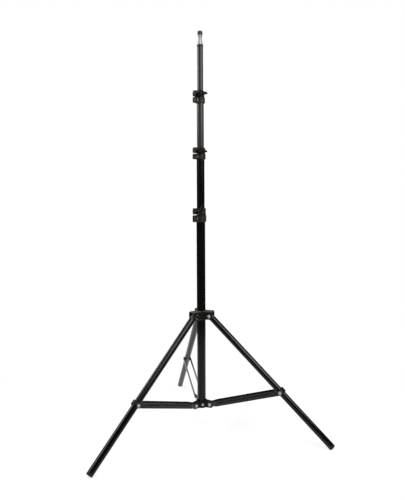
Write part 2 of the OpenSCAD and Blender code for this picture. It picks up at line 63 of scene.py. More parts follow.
# Legs and braces as the solids have them: angles in degrees
LEGS = {"rear": 90, "left": 210, "right": 330}
LEG_ANGLE = 45.4
LEG_LENGTH = 535 * MM
LEG_RADIUS = 10 * MM
FOOT_LENGTH = 9 * MM
BRACE_ANGLE = 16.351
BRACE_LENGTH = 233 * MM
BAR_HEIGHT = 15.5 * MM
BAR_THICKNESS = 1.5 * MM
BAR_NARROW = 6.3 * MM
BAR_WIDE = 11.55 * MM
JOGGLE_START = 12 * MM
JOGGLE_LENGTH = 10 * MM
LOBE_WIDTH = 26.6 * MM

# Clamps
LEVELS = ("lower", "middle", "upper")
CLAMP_AZIMUTH = 208
EARS_HALF = 7 * MM
KNOB_TURN = {"lower": 120, "middle": 189, "upper": 178}


def turn(degrees, axis):
    return Matrix.Rotation(math.radians(degrees), 4, axis)


def shift(x, y, z):
    return Matrix.Translation((x, y, z))


ORIGIN = Matrix.Identity(4)


def joint_place(name):
    return Matrix.Translation(joints[name]["pos_m"])


def leg_frame(side):
    """z runs down the leg from its pivot, and -x is the leg's upper side."""
    return joint_place(side + "_leg_hinge") @ turn(LEGS[side], "Z") @ turn(180 - LEG_ANGLE, "Y")


def brace_frame(side):
    """x runs from the hub's rivet to the leg's."""
    return joint_place(side + "_brace_hinge") @ turn(LEGS[side], "Z") @ turn(-BRACE_ANGLE, "Y")


def bolt_frame(level):
    """x runs along the clamp's ears and y along the bolt towards the knob."""
    return joint_place(level + "_knob_turn") @ turn(CLAMP_AZIMUTH, "Z")


# Stage


def add_camera():
    data = bpy.data.cameras.new("camera")
    data.sensor_width = SENSOR_MM
    data.lens = FOCAL_PIXELS / IMAGE_HEIGHT * SENSOR_MM
    camera = bpy.data.objects.new("camera", data)
    stand = turn(CAMERA_AZIMUTH, "Z") @ shift(CAMERA_SIDE, -CAMERA_BACK, CAMERA_HEIGHT)
    camera.matrix_world = stand @ turn(90 - CAMERA_PITCH, "X") @ turn(CAMERA_ROLL, "Z")
    bpy.context.scene.collection.objects.link(camera)
    bpy.context.scene.camera = camera


def add_softbox(name, azimuth, distance, height, width, tall, watts):
    """A softbox that faces the column, at an azimuth to the right of the camera's side."""
    data = bpy.data.lights.new(name, "AREA")
    data.shape = "RECTANGLE"
    data.size = width
    data.size_y = tall
    data.energy = watts
    lamp = bpy.data.objects.new(name, data)
    lamp.matrix_world = turn(CAMERA_AZIMUTH + azimuth, "Z") @ shift(0, -distance, height) @ turn(90, "X")
    bpy.context.scene.collection.objects.link(lamp)


def add_top_light(right, front, height, side, watts):
    """A square light that faces down, above the space between the column and the camera."""
    data = bpy.data.lights.new("top_light", "AREA")
    data.size = side
    data.energy = watts
    lamp = bpy.data.objects.new("top_light", data)
    lamp.matrix_world = turn(CAMERA_AZIMUTH, "Z") @ shift(right, -front, height)
    bpy.context.scene.collection.objects.link(lamp)


def add_mix(tree, factor, low, high):
    """A number between low and high, which are sockets or plain numbers."""
    mix = tree.nodes.new("ShaderNodeMix")
    for socket, value in ((mix.inputs[0], factor), (mix.inputs[2], low), (mix.inputs[3], high)):
        if isinstance(value, (int, float)):
            socket.default_value = value
        else:
            tree.links.new(value, socket)
    return mix.outputs[0]


AMBIENT = 0.35
DIM_SIDE = 0.04
BACKDROP_HALF_ANGLE = 6
BACKDROP_FADE = 10


def add_world():
    """White to the camera. Reflections see white straight behind the object and little elsewhere,
    and an even low light falls on the rest."""
    world = bpy.data.worlds.new("world")
    world.use_nodes = True
    bpy.context.scene.world = world
    tree = world.node_tree
    background = tree.nodes["Background"]
    light_path = tree.nodes.new("ShaderNodeLightPath")
    coords = tree.nodes.new("ShaderNodeTexCoord")
    toward = tree.nodes.new("ShaderNodeVectorMath")
    toward.operation = "DOT_PRODUCT"
    toward.inputs[1].default_value = turn(CAMERA_AZIMUTH, "Z") @ Vector((0, 1, 0))
    tree.links.new(coords.outputs["Generated"], toward.inputs[0])
    mirror = tree.nodes.new("ShaderNodeMapRange")
    mirror.inputs["From Min"].default_value = math.cos(math.radians(BACKDROP_HALF_ANGLE + BACKDROP_FADE))
    mirror.inputs["From Max"].default_value = math.cos(math.radians(BACKDROP_HALF_ANGLE))
    mirror.inputs["To Min"].default_value = DIM_SIDE
    mirror.inputs["To Max"].default_value = 1
    tree.links.new(toward.outputs["Value"], mirror.inputs["Value"])
    seen = tree.nodes.new("ShaderNodeMath")
    seen.operation = "MAXIMUM"
    tree.links.new(light_path.outputs["Is Camera Ray"], seen.inputs[0])
    tree.links.new(light_path.outputs["Is Transmission Ray"], seen.inputs[1])
    shine = add_mix(tree, light_path.outputs["Is Glossy Ray"], AMBIENT, mirror.outputs["Result"])
    strength = add_mix(tree, seen.outputs["Value"], shine, 1)
    tree.links.new(strength, background.inputs["Strength"])
    background.inputs["Color"].default_value = (1, 1, 1, 1)


FLOOR_RADIUS = 1.1
FLOOR_GLOW = 0.72
FLOOR_COLOUR = 0.42
SHADOW_INNER = 0.45
SHADOW_OUTER = 0.95
MIRRORED_FRONT = 0.42
MIRRORED_BACK = 0.9
MIRRORED_REACH = 0.3


def add_floor():
    """A round pale floor that keeps the shadow near the object and is plain white further out.
    In the tubes its mirror image is brighter behind the object than in front."""
    disc = bmesh.new()
    bmesh.ops.create_circle(disc, cap_ends=True, segments=96, radius=FLOOR_RADIUS)
    mesh = bpy.data.meshes.new("floor")
    disc.to_mesh(mesh)
    disc.free()
    floor = bpy.data.objects.new("floor", mesh)
    bpy.context.scene.collection.objects.link(floor)
    material = bpy.data.materials.new("floor")
    material.use_nodes = True
    tree = material.node_tree
    tree.nodes.clear()
    output = tree.nodes.new("ShaderNodeOutputMaterial")
    coords = tree.nodes.new("ShaderNodeTexCoord")
    radius = tree.nodes.new("ShaderNodeVectorMath")
    radius.operation = "LENGTH"
    tree.links.new(coords.outputs["Object"], radius.inputs[0])
    fade = tree.nodes.new("ShaderNodeMapRange")
    fade.interpolation_type = "SMOOTHSTEP"
    fade.inputs["From Min"].default_value = SHADOW_INNER
    fade.inputs["From Max"].default_value = SHADOW_OUTER
    tree.links.new(radius.outputs["Value"], fade.inputs["Value"])
    white = tree.nodes.new("ShaderNodeEmission")
    glow = tree.nodes.new("ShaderNodeEmission")
    glow.inputs["Strength"].default_value = FLOOR_GLOW
    matte = tree.nodes.new("ShaderNodeBsdfDiffuse")
    matte.inputs["Color"].default_value = (FLOOR_COLOUR, FLOOR_COLOUR, FLOOR_COLOUR, 1)
    near = tree.nodes.new("ShaderNodeAddShader")
    tree.links.new(glow.outputs[0], near.inputs[0])
    tree.links.new(matte.outputs[0], near.inputs[1])
    shown = tree.nodes.new("ShaderNodeMixShader")
    tree.links.new(fade.outputs["Result"], shown.inputs[0])
    tree.links.new(near.outputs[0], shown.inputs[1])
    tree.links.new(white.outputs[0], shown.inputs[2])
    behind = tree.nodes.new("ShaderNodeVectorMath")
    behind.operation = "DOT_PRODUCT"
    behind.inputs[1].default_value = turn(CAMERA_AZIMUTH, "Z") @ Vector((0, 1, 0))
    tree.links.new(coords.outputs["Object"], behind.inputs[0])
    level = tree.nodes.new("ShaderNodeMapRange")
    level.inputs["From Min"].default_value = -MIRRORED_REACH
    level.inputs["From Max"].default_value = MIRRORED_REACH
    level.inputs["To Min"].default_value = MIRRORED_FRONT
    level.inputs["To Max"].default_value = MIRRORED_BACK
    tree.links.new(behind.outputs["Value"], level.inputs["Value"])
    mirrored = tree.nodes.new("ShaderNodeEmission")
    tree.links.new(level.outputs["Result"], mirrored.inputs["Strength"])
    light_path = tree.nodes.new("ShaderNodeLightPath")
    either = tree.nodes.new("ShaderNodeMixShader")
    tree.links.new(light_path.outputs["Is Glossy Ray"], either.inputs[0])
    tree.links.new(shown.outputs[0], either.inputs[1])
    tree.links.new(mirrored.outputs[0], either.inputs[2])
    tree.links.new(either.outputs[0], output.inputs["Surface"])
    mesh.materials.append(material)


# Materials


class Finish:
    """A material with a Principled shader, and short calls that add procedural detail to it."""

    def __init__(self, name, colour, roughness, metallic=0.0, specular=0.5, place=None):
        self.material = bpy.data.materials.new(name)
        self.material.use_nodes = True
        self.tree = self.material.node_tree
        self.shader = self.tree.nodes["Principled BSDF"]
        self.colour = (*colour, 1)
        self.shader.inputs["Base Color"].default_value = self.colour
        self.shader.inputs["Roughness"].default_value = roughness
        self.shader.inputs["Metallic"].default_value = metallic
        self.shader.inputs["Specular IOR Level"].default_value = specular
        self.point = self.tree.nodes.new("ShaderNodeTexCoord").outputs["Object"]
        if place is not None:
            mapping = self.tree.nodes.new("ShaderNodeMapping")
            mapping.vector_type = "TEXTURE"
            mapping.inputs["Location"].default_value = place.to_translation()
            mapping.inputs["Rotation"].default_value = place.to_euler()
            self.tree.links.new(self.point, mapping.inputs["Vector"])
            self.point = mapping.outputs["Vector"]

    def noise(self, grain, stretch=(1, 1, 1), detail=3):
        """Noise with features of about the grain's size in metres, drawn out along an axis by stretch."""
        scale = self.tree.nodes.new("ShaderNodeVectorMath")
        scale.operation = "MULTIPLY"
        scale.inputs[1].default_value = [1 / (grain * s) for s in stretch]
        self.tree.links.new(self.point, scale.inputs[0])
        texture = self.tree.nodes.new("ShaderNodeTexNoise")
        texture.inputs["Scale"].default_value = 1
        texture.inputs["Detail"].default_value = detail
        self.tree.links.new(scale.outputs[0], texture.inputs["Vector"])
        return texture.outputs["Fac"]

    def ranged(self, value, low, high, start=0.3, end=0.7):
        ranged = self.tree.nodes.new("ShaderNodeMapRange")
        ranged.inputs["From Min"].default_value = start
        ranged.inputs["From Max"].default_value = end
        ranged.inputs["To Min"].default_value = low
        ranged.inputs["To Max"].default_value = high
        self.tree.links.new(value, ranged.inputs["Value"])
        return ranged.outputs["Result"]

    def mix_colour(self, factor, other):
        """Mixes another colour over what the base colour is so far."""
        mix = self.tree.nodes.new("ShaderNodeMix")
        mix.data_type = "RGBA"
        base = self.shader.inputs["Base Color"]
        if base.is_linked:
            self.tree.links.new(base.links[0].from_socket, mix.inputs[6])
        else:
            mix.inputs[6].default_value = self.colour
        mix.inputs[7].default_value = (*other, 1)
        self.tree.links.new(factor, mix.inputs[0])
        self.tree.links.new(mix.outputs[2], base)

    def rough(self, value):
        self.tree.links.new(value, self.shader.inputs["Roughness"])

    def bump(self, value, depth, strength=1.0):
        """Raises the surface by the value, up to depth in metres. A second call adds to the first."""
        bump = self.tree.nodes.new("ShaderNodeBump")
        bump.inputs["Strength"].default_value = strength
        bump.inputs["Distance"].default_value = depth
        self.tree.links.new(value, bump.inputs["Height"])
        normal = self.shader.inputs["Normal"]
        if normal.is_linked:
            self.tree.links.new(normal.links[0].from_socket, bump.inputs["Normal"])
        self.tree.links.new(bump.outputs["Normal"], normal)

    def edges(self):
        """From 0 on flat faces to 1 on worn convex edges."""
        geometry = self.tree.nodes.new("ShaderNodeNewGeometry")
        return self.ranged(geometry.outputs["Pointiness"], low=0, high=1, start=0.52, end=0.6)

    def upward(self, amount):
        """From 0 on upright faces to the amount on faces that look up."""
        coords = self.tree.nodes.new("ShaderNodeTexCoord")
        split = self.tree.nodes.new("ShaderNodeSeparateXYZ")
        self.tree.links.new(coords.outputs["Normal"], split.inputs[0])
        return self.ranged(split.outputs["Z"], low=0, high=amount, start=0.35, end=0.9)

    def times(self, first, second):
        product = self.tree.nodes.new("ShaderNodeMath")
        product.operation = "MULTIPLY"
        self.tree.links.new(first, product.inputs[0])
        self.tree.links.new(second, product.inputs[1])
        return product.outputs[0]


def grey(level, warm=0.0):
    return (level * (1 + warm), level, level * (1 - warm))


BLACK_WARMTH = 0.45


def tube_finish(name, level, roughness, warm=BLACK_WARMTH, place=None):
    """Black anodised tube: lines drawn along the tube, a fine grain and faint rubbed streaks."""
    finish = Finish(name, grey(level, warm), roughness, place=place)
    lines = finish.noise(0.9 * MM, stretch=(1, 1, 160))
    streaks = finish.noise(5 * MM, stretch=(1, 1, 30))
    grain = finish.noise(0.25 * MM)
    line_tint = grey(level * 1.8 + 0.0005, warm)
    streak_tint = grey(level * 2.2 + 0.001, warm)
    finish.mix_colour(finish.ranged(lines, low=0, high=0.45), line_tint)
    finish.mix_colour(finish.ranged(streaks, low=0, high=0.5, start=0.58, end=0.75), streak_tint)
    finish.rough(finish.ranged(streaks, low=roughness * 0.75, high=roughness * 1.4))
    finish.bump(lines, depth=0.003 * MM)
    finish.bump(grain, depth=0.001 * MM)
    return finish.material


FAINT_WARMTH = 0.02
# Colour of the painted light from above on faces that look up.
PAINTED_TOP_LIGHT_LEVEL = 0.13


def moulded_finish(name, level, roughness, specular=0.5, painted_top_light=0.0):
    """Spark-eroded moulded plastic: fine grain, faint flow marks and edges rubbed lighter.
    Where asked, faces that look up are painted lighter, as painted light from above."""
    finish = Finish(name, grey(level, BLACK_WARMTH), roughness, specular=specular)
    grain = finish.noise(0.45 * MM)
    flow = finish.noise(14 * MM, stretch=(1, 1, 0.6))
    patches = finish.ranged(finish.noise(4 * MM), low=0, high=1, start=0.4, end=0.65)
    wear = finish.times(finish.edges(), patches)
    flow_tint = grey(level * 1.5, BLACK_WARMTH)
    wear_tint = grey(level * 3 + 0.02, FAINT_WARMTH)
    finish.mix_colour(finish.ranged(flow, low=0, high=0.5), flow_tint)
    finish.mix_colour(finish.times(wear, finish.ranged(grain, low=0.3, high=0.8)), wear_tint)
    # Painted light from above: faces that look up are mixed towards a pale grey.
    finish.mix_colour(finish.upward(painted_top_light), grey(PAINTED_TOP_LIGHT_LEVEL, FAINT_WARMTH))
    finish.rough(finish.ranged(flow, low=roughness - 0.07, high=roughness + 0.08))
    finish.bump(grain, depth=0.05 * MM)
    return finish.material


BARE_STEEL_LEVEL = 0.18


def painted_finish(name, level, roughness, place):
    """Black paint over pressed steel: orange peel, rubbed streaks along the bar, chips along the edges."""
    finish = Finish(name, grey(level), roughness, place=place)
    peel = finish.noise(1.2 * MM)
    rub = finish.noise(6 * MM, stretch=(12, 1, 1))
    patches = finish.ranged(finish.noise(2.5 * MM), low=0, high=1, start=0.55, end=0.62)
    chips = finish.times(finish.edges(), patches)
    finish.mix_colour(finish.ranged(rub, low=0, high=0.6, start=0.45, end=0.75), grey(level * 2.5))
    finish.mix_colour(chips, grey(BARE_STEEL_LEVEL))
    finish.rough(finish.ranged(rub, low=roughness - 0.06, high=roughness + 0.1))
    finish.bump(peel, depth=0.03 * MM)
    return finish.material


def rubber_finish(name, level):
    """Matt rubber with pale scuffs."""
    finish = Finish(name, grey(level, FAINT_WARMTH), roughness=0.72, specular=0.35)
    grain = finish.noise(0.35 * MM)
    scuff = finish.noise(3 * MM, stretch=(1, 1, 0.4), detail=5)
    scuff_tint = grey(level * 2.6 + 0.01, warm=0.03)
    finish.mix_colour(finish.ranged(scuff, low=0, high=0.6, start=0.5, end=0.75), scuff_tint)
    finish.rough(finish.ranged(scuff, low=0.6, high=0.85))
    finish.bump(grain, depth=0.06 * MM)
    finish.bump(scuff, depth=0.08 * MM, strength=0.5)
    return finish.material


METAL_WARMTH = 0.01


def steel_finish(name, level, roughness):
    """Nickel-plated steel with fine scratches and a dull bloom."""
    finish = Finish(name, grey(level, METAL_WARMTH), roughness, metallic=1.0)
    scratches = finish.noise(0.5 * MM, stretch=(1, 14, 1))
    bloom = finish.noise(2.5 * MM)
    finish.mix_colour(finish.ranged(bloom, low=0, high=0.35), grey(level * 0.72, FAINT_WARMTH))
    finish.rough(finish.ranged(scratches, low=roughness - 0.08, high=roughness + 0.12))
    finish.bump(scratches, depth=0.006 * MM)
    return finish.material


def turned_finish(name, level, roughness):
    """Turned aluminium: fine rings from the tool round the axis."""
    finish = Finish(name, grey(level, METAL_WARMTH), roughness, metallic=1.0)
    rings = finish.noise(0.16 * MM, stretch=(400, 400, 1), detail=2)
    bloom = finish.noise(4 * MM)
    finish.mix_colour(finish.ranged(bloom, low=0, high=0.3), grey(level * 0.75, FAINT_WARMTH))
    finish.rough(finish.ranged(rings, low=roughness - 0.08, high=roughness + 0.14))
    finish.bump(rings, depth=0.012 * MM)
    return finish.material


TUBE = tube_finish("tube_black", level=0.0006, roughness=0.2)
LOWER_RISER = tube_finish("riser_black", level=0.0015, roughness=0.2)
# Middle and upper risers are the same black tube as below; their lighter, neutral grey level is painted
# reflection of the lamps, not the tube's own colour.
UPPER_RISER_PAINTED_SHEEN = tube_finish("riser_painted_sheen", level=0.027, roughness=0.24, warm=0.02)
MOULDING = moulded_finish("moulding", level=0.012, roughness=0.5)
# The collar and the leg heads get painted light from above on their top faces.
DARK_MOULDING = moulded_finish("dark_moulding", level=0.0035, roughness=0.48, specular=0.42, painted_top_light=0.65)
HUB_MOULDING = moulded_finish("hub_moulding", level=0.003, roughness=0.48, specular=0.3)
KNOB = moulded_finish("knob", level=0.0015, roughness=0.38, specular=0.3)
GUIDE = moulded_finish("guide", level=0.02, roughness=0.5)
RUBBER = rubber_finish("rubber", level=0.016)
CAP_RUBBER = rubber_finish("cap_rubber", level=0.045)
STEEL = steel_finish("bright_steel", level=0.85, roughness=0.64)
DULL_STEEL = steel_finish("dull_steel", level=0.45, roughness=0.5)
SPIGOT = turned_finish("spigot_metal", level=0.66, roughness=0.62)
LEG_TUBES = {
    side: tube_finish(side + "_leg_black", level=0.0012, roughness=0.1, place=leg_frame(side))
    for side in LEGS
}
BRACES = {
    side: painted_finish(side + "_brace_black", level=0.008, roughness=0.22, place=brace_frame(side))
    for side in LEGS
}


# Meshes


def lathe(profile, steps=48):
    """A solid of revolution round z. The profile is a list of (radius, z), from one end to the other."""
    mesh = bmesh.new()
    rings = []
    for radius, z in profile:
        angles = [2 * math.pi * k / steps for k in range(steps)]
        rings.append([mesh.verts.new((radius * math.cos(a), radius * math.sin(a), z)) for a in angles])
    skin(mesh, rings)
    return mesh


def skin(mesh, rings):
    """Joins rings of points into a closed surface, with the two ends capped."""
    for low, high in zip(rings, rings[1:]):
        for k in range(len(low)):
            n = (k + 1) % len(low)
            mesh.faces.new((low[k], low[n], high[n], high[k]))
    mesh.faces.new(list(reversed(rings[0])))
    mesh.faces.new(rings[-1])


def moved(mesh, place):
    bmesh.ops.transform(mesh, matrix=place, verts=mesh.verts)
    return mesh


def joined(meshes):
    """Puts several meshes into one, each still its own shell."""
    whole = bmesh.new()
    for mesh in meshes:
        part = bpy.data.meshes.new("part")
        mesh.to_mesh(part)
        mesh.free()
        whole.from_mesh(part)
        bpy.data.meshes.remove(part)
    return whole


def block(low, high):
    """A box between two corners."""
    mesh = bmesh.new()
    centre = (Vector(low) + Vector(high)) / 2
    size = Vector(high) - Vector(low)
    bmesh.ops.create_cube(mesh, size=1, matrix=Matrix.Translation(centre) @ Matrix.Diagonal((*size, 1)))
    return mesh


SHARP_ANGLE = math.radians(35)
MERGE_DISTANCE = 0.002 * MM


def solid_of(node):
    """A copy of a CAD node's mesh, its split corners joined."""
    mesh = bmesh.new()
    mesh.from_mesh(nodes[node].data)
    bmesh.ops.remove_doubles(mesh, verts=mesh.verts, dist=MERGE_DISTANCE)
    return mesh


def add_piece(name, mesh, place, body, material, stands_for):
    """Makes an object of a mesh and puts it on its body in place of CAD nodes."""
    data = bpy.data.meshes.new(name)
    bmesh.ops.recalc_face_normals(mesh, faces=mesh.faces)
    mesh.to_mesh(data)
    mesh.free()
    data.shade_smooth()
    data.set_sharp_from_angle(angle=SHARP_ANGLE)
    data.materials.append(material)
    piece = bpy.data.objects.new(name, data)
    bpy.context.scene.collection.objects.link(piece)
    piece.matrix_world = place
    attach(piece, body)
    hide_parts(*stands_for)
    return piece


def round_edges(piece, width):
    """Rounds the sharp edges of a piece by a bevel."""
    bevel = piece.modifiers.new("round", "BEVEL")
    bevel.width = width
    bevel.segments = 2
    bevel.limit_method = "ANGLE"
    bevel.angle_limit = SHARP_ANGLE
    bevel.harden_normals = True


def mould(piece, voxel, passes):
    """Merges a piece's shells into one skin and softens every edge, as a moulding has them."""
    remesh = piece.modifiers.new("merge", "REMESH")
    remesh.mode = "VOXEL"
    remesh.voxel_size = voxel
    remesh.use_smooth_shade = True
    soften = piece.modifiers.new("soften", "SMOOTH")
    soften.factor = 0.5
    soften.iterations = passes


def dress_node(node, material, edge=0.0):
    """Keeps a CAD node's shape and gives it a finish, with its edges eased where asked."""
    piece = nodes[node]
    piece.data.materials.clear()
    piece.data.materials.append(material)
    if edge:
        weld = piece.modifiers.new("weld", "WELD")
        weld.merge_threshold = MERGE_DISTANCE
        round_edges(piece, edge)


# Column tubes and the pieces that keep their CAD shape


def dress_tubes():
    """Finishes for the tubes and the small pieces that keep their CAD shape."""
    dress_node("base_tube", TUBE)
    dress_node("lower_riser", LOWER_RISER)
    dress_node("middle_riser", UPPER_RISER_PAINTED_SHEEN)
    dress_node("upper_riser", UPPER_RISER_PAINTED_SHEEN)
    for side in LEGS:
        dress_node(side + "_leg_tube", LEG_TUBES[side])
        dress_node(side + "_leg_clip", HUB_MOULDING, edge=0.4 * MM)
    for level in LEVELS:
        dress_node(level + "_guide", GUIDE)
        dress_node(level + "_clamp_bolt", STEEL, edge=0.4 * MM)
    dress_node("collar_bolt", STEEL, edge=0.3 * MM)
    dress_node("collar_washer", STEEL, edge=0.2 * MM)


# Spigot


def ring_profile(corners, round_by):
    """A profile whose corners are cut back by a small chamfer."""
    points = []
    for before, here, after in zip([corners[0], *corners], corners, [*corners[1:], corners[-1]]):
        here = Vector(here)
        for other in (before, after):
            way = Vector(other) - here
            if way.length > 2 * round_by:
                points.append(tuple(here + way.normalized() * round_by))
            elif way.length == 0:
                points.append(tuple(here))
    return points


SHANK_RADIUS = 7.7 * MM
SHANK_EASE = 0.5 * MM
SPIGOT_RADIUS = 7.95 * MM
SPIGOT_BASE = 6 * MM
SPIGOT_TAPER = 3.5 * MM
WAIST_RADIUS = 6 * MM
WAIST_LENGTH = 13 * MM
RIM_RADIUS = 7 * MM
RIM_TAPER = 1 * MM
STUB_RADIUS = 3.1 * MM
STUB_LENGTH = 9.5 * MM
THREAD_PITCH = 1 * MM
THREAD_DEPTH = 0.35 * MM
THREAD_STEPS = 32
THREAD_ROWS = 6
TURNED_EDGE = 0.35 * MM


def thread(radius, length, pitch, depth):
    """A screw thread from z = 0: rings whose radius follows the helix."""
    mesh = bmesh.new()
    rings = []
    for row in range(int(length / pitch * THREAD_ROWS) + 1):
        z = row * pitch / THREAD_ROWS
        ring = []
        for k in range(THREAD_STEPS):
            phase = (z / pitch - k / THREAD_STEPS) % 1
            r = radius - depth * abs(2 * phase - 1)
            angle = 2 * math.pi * k / THREAD_STEPS
            ring.append(mesh.verts.new((r * math.cos(angle), r * math.sin(angle), z)))
        rings.append(ring)
    skin(mesh, rings)
    return mesh


def add_spigot():
    """A turned stud with a full-size base, a waist, a rim and a threaded stub under the cap."""
    low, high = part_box("spigot")
    base_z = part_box("ferrule")[1].z
    stub_z = high.z - STUB_LENGTH
    waist_low = base_z + SPIGOT_BASE + SPIGOT_TAPER
    waist_high = waist_low + WAIST_LENGTH
    stud = ring_profile([
        (SHANK_RADIUS, low.z),
        (SHANK_RADIUS, base_z - SHANK_EASE),
        (SPIGOT_RADIUS, base_z),
        (SPIGOT_RADIUS, base_z + SPIGOT_BASE),
        (WAIST_RADIUS, waist_low),
        (WAIST_RADIUS, waist_high),
        (RIM_RADIUS, waist_high + RIM_TAPER),
        (RIM_RADIUS, stub_z),
    ], TURNED_EDGE)
    stub = moved(thread(STUB_RADIUS, STUB_LENGTH, THREAD_PITCH, THREAD_DEPTH), shift(0, 0, stub_z))
    shape = joined([lathe(stud, steps=64), stub])
    add_piece("spigot_stud", shape, ORIGIN, "upper_riser", SPIGOT, ["spigot"])


FERRULE_BORE = 7.8 * MM
FERRULE_FOOT = 0.3 * MM
FERRULE_FOOT_RISE = 1 * MM
FERRULE_CHAMFER = 0.8 * MM
FERRULE_EDGE = 0.2 * MM


def add_ferrule():
    """The ring on top of the upper riser, eased below and chamfered above."""
    low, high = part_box("ferrule")
    outer = high.x
    ring = ring_profile([
        (FERRULE_BORE, low.z),
        (outer - FERRULE_FOOT, low.z),
        (outer, low.z + FERRULE_FOOT_RISE),
        (outer, high.z - FERRULE_CHAMFER),
        (outer - FERRULE_CHAMFER, high.z),
        (FERRULE_BORE, high.z),
    ], FERRULE_EDGE)
    shape = lathe(ring, steps=64)
    add_piece("ferrule_ring", shape, ORIGIN, "upper_riser", MOULDING, ["ferrule"])


CAP_FLUTES = 18
CAP_FLUTE_DEPTH = 0.35 * MM
CAP_FLUTE_STEPS = 8
CAP_RIM_EASE = 0.6 * MM
CAP_RIM_END = 0.03
CAP_BAND_END = 0.16
CAP_FLUTE_START = 0.2
CAP_FLUTE_END = 0.74
CAP_DOME_START = 0.8
CAP_DOME_INSET = 4.8 * MM
CAP_DOME_STEPS = 6


def cap_rows():
    """Rows up the cap: share of its height, inset from its radius and share of the flutes' depth."""
    rows = [(0, CAP_RIM_EASE, 0), (CAP_RIM_END, 0, 0), (CAP_BAND_END, 0, 0)]
    rows += [(CAP_FLUTE_START, 0, 1), (CAP_FLUTE_END, 0, 1)]
    for step in range(CAP_DOME_STEPS + 1):
        angle = math.pi / 2 * step / CAP_DOME_STEPS
        share = CAP_DOME_START + (1 - CAP_DOME_START) * math.sin(angle)
        rows.append((share, CAP_DOME_INSET * (1 - math.cos(angle)), 0))
    return rows


def add_cap():
    """A push-on cap with shallow flutes round its side and a domed top."""
    low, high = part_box("spigot_cap")
    height = high.z - low.z
    steps = CAP_FLUTES * CAP_FLUTE_STEPS
    mesh = bmesh.new()
    rings = []
    for share, inset, flute in cap_rows():
        ring = []
        for k in range(steps):
            angle = 2 * math.pi * k / steps
            dip = flute * CAP_FLUTE_DEPTH * (0.5 - 0.5 * math.cos(angle * CAP_FLUTES))
            r = high.x - inset - dip
            ring.append(mesh.verts.new((r * math.cos(angle), r * math.sin(angle), low.z + share * height)))
        rings.append(ring)
    skin(mesh, rings)
    add_piece("cap_shell", mesh, ORIGIN, "cap", CAP_RUBBER, ["spigot_cap"])


# Rivets, screws and nuts


RIVET_SINK = 0.3 * MM
RIVET_SINK_SHARE = 0.8
RIVET_RIM = 0.2
DOME_STEPS = 8
DOME_END = 88


def rivet_head(radius, height):
    """A formed rivet head on z = 0: a low rim and a smooth dome with a small flat on top."""
    rim = height * RIVET_RIM
    profile = [(radius * RIVET_SINK_SHARE, -RIVET_SINK), (radius, 0)]
    for step in range(DOME_STEPS + 1):
        angle = math.radians(DOME_END) * step / DOME_STEPS
        profile.append((radius * math.cos(angle), rim + (height - rim) * math.sin(angle)))
    return lathe(profile, steps=40)


RIVET_HEAD = 5 * MM
RIVET_HEIGHT = 2 * MM
RIVET_RADIUS = 3 * MM
Y_TO_Z = turn(-90, "X")


def cross_rivet(half_grip):
    """A rivet along y through the middle, with a formed head at each end."""
    shaft = lathe([(RIVET_RADIUS, -half_grip), (RIVET_RADIUS, half_grip)], steps=32)
    heads = [rivet_head(RIVET_HEAD, RIVET_HEIGHT) for _ in range(2)]
    moved(heads[0], shift(0, 0, half_grip))
    moved(heads[1], turn(180, "X") @ shift(0, 0, half_grip))
    return moved(joined([shaft, *heads]), Y_TO_Z)


# A pan head and its cross recess, as shares of its radius and height
PAN_OUTLINE = ((0.9, -0.08), (1, 0.06), (1, 0.4), (0.94, 0.7), (0.8, 0.9), (0.62, 1.0))
RECESS_HALF_WIDTH = 0.13
RECESS_HALF_LENGTH = 0.58
RECESS_FLOOR = 0.45


def pan_head(radius, height):
    """A pan-head screw with a cross recess, its head on z = 0."""
    head = lathe([(radius * share_r, height * share_z) for share_r, share_z in PAN_OUTLINE])
    narrow = radius * RECESS_HALF_WIDTH
    wide = radius * RECESS_HALF_LENGTH
    floor = height * RECESS_FLOOR
    above = height * 2
    cuts = [block((-x, -y, floor), (x, y, above)) for x, y in ((wide, narrow), (narrow, wide))]
    return cut_away(head, joined(cuts))


def cut_away(mesh, tool):
    """The mesh with the tool's shape cut out of it."""
    objects = []
    for name, source in (("body", mesh), ("tool", tool)):
        data = bpy.data.meshes.new(name)
        source.to_mesh(data)
        source.free()
        shape = bpy.data.objects.new(name, data)
        bpy.context.scene.collection.objects.link(shape)
        objects.append(shape)
    body, cutter = objects
    boolean = body.modifiers.new("cut", "BOOLEAN")
    boolean.operation = "DIFFERENCE"
    boolean.solver = "EXACT"
    boolean.use_self = True
    boolean.object = cutter
    bpy.context.view_layer.update()
    result = bmesh.new()
    result.from_object(body, bpy.context.evaluated_depsgraph_get())
    for shape in objects:
        data = shape.data
        bpy.data.objects.remove(shape)
        bpy.data.meshes.remove(data)
    return result


NUT_STEPS = 48
NUT_EASE = 0.6
NUT_FACE = 0.97


def hex_reach(flat, angle):
    """Distance from a hexagon's middle to its side, from half its width across the flats."""
    side = (angle + math.pi / 6) % (math.pi / 3) - math.pi / 6
    return flat / math.cos(math.pi / 6 - abs(side))


def hex_nut(across_corners, height):
    """A chamfered hexagon nut on z = 0, upwards."""
    radius = across_corners / 2
    flat = radius * math.cos(math.pi / 6)
    ease = (radius - flat) * NUT_EASE
    mesh = bmesh.new()
    rings = []
    for is_face, z in ((True, 0), (False, ease), (False, height - ease), (True, height)):
        ring = []
        for k in range(NUT_STEPS):
            angle = 2 * math.pi * k / NUT_STEPS
            reach = flat * NUT_FACE if is_face else hex_reach(flat, angle)
            ring.append(mesh.verts.new((reach * math.cos(angle), reach * math.sin(angle), z)))
        rings.append(ring)
    skin(mesh, rings)
    return mesh


HUB_RIVET_GAP = 0.3 * MM
RIVET_GAP = 0.05 * MM
HUB_RIVET_HALF = BAR_NARROW + BAR_THICKNESS + HUB_RIVET_GAP
LEG_RIVET_HALF = LOBE_WIDTH / 2 + RIVET_GAP
BRACE_RIVET_HALF = BAR_WIDE + BAR_THICKNESS + RIVET_GAP
HUB_SCREW_AZIMUTHS = (30, 150, 270)
HUB_SCREW_RADIUS = 3.75 * MM
HUB_SCREW_HEIGHT = 1.8 * MM
SLEEVE_RADIUS = 17.08 * MM


